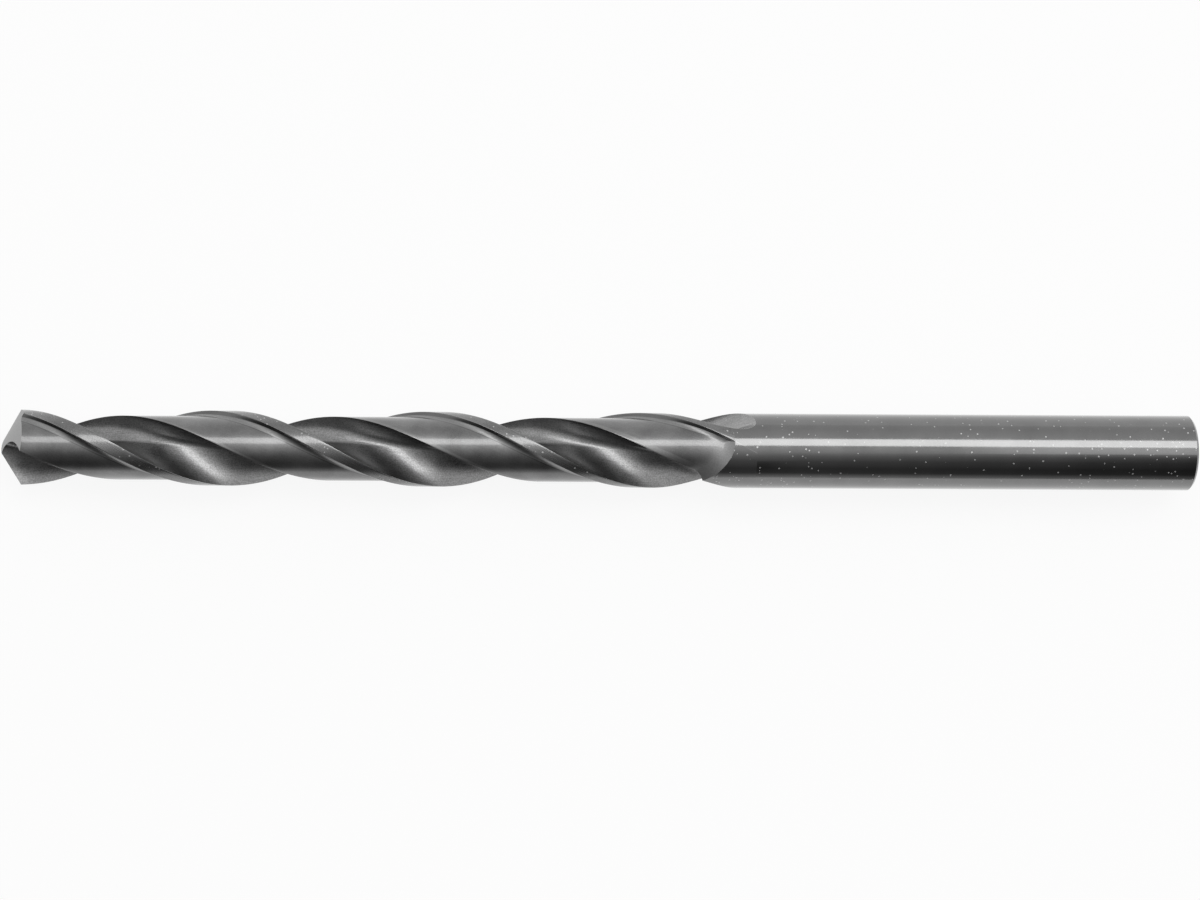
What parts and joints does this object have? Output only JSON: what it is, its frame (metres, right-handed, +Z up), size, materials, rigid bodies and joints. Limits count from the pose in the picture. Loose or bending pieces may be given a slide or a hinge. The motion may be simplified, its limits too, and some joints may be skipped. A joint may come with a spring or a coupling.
{
  "type": "twist drill bit",
  "caption": "Straight-shank twist drill for metal, with helical flutes, narrow margins, relieved lands and a conical point.",
  "frame": {"origin": "centre of the flat end face of the shank, on the drill's axis", "axes": "+X along the drill's axis, out of the shank end, so the point faces -X; +Z up, as the drill lies on its side"},
  "size_m": [0.109, 0.0068, 0.0068],
  "materials": {
    "hardened_steel": "ground and dull dark hardened steel, brighter along its worn edges"
  },
  "bodies": {
    "root": {"twist_drill": "hardened_steel"}
  },
  "joints": []
}
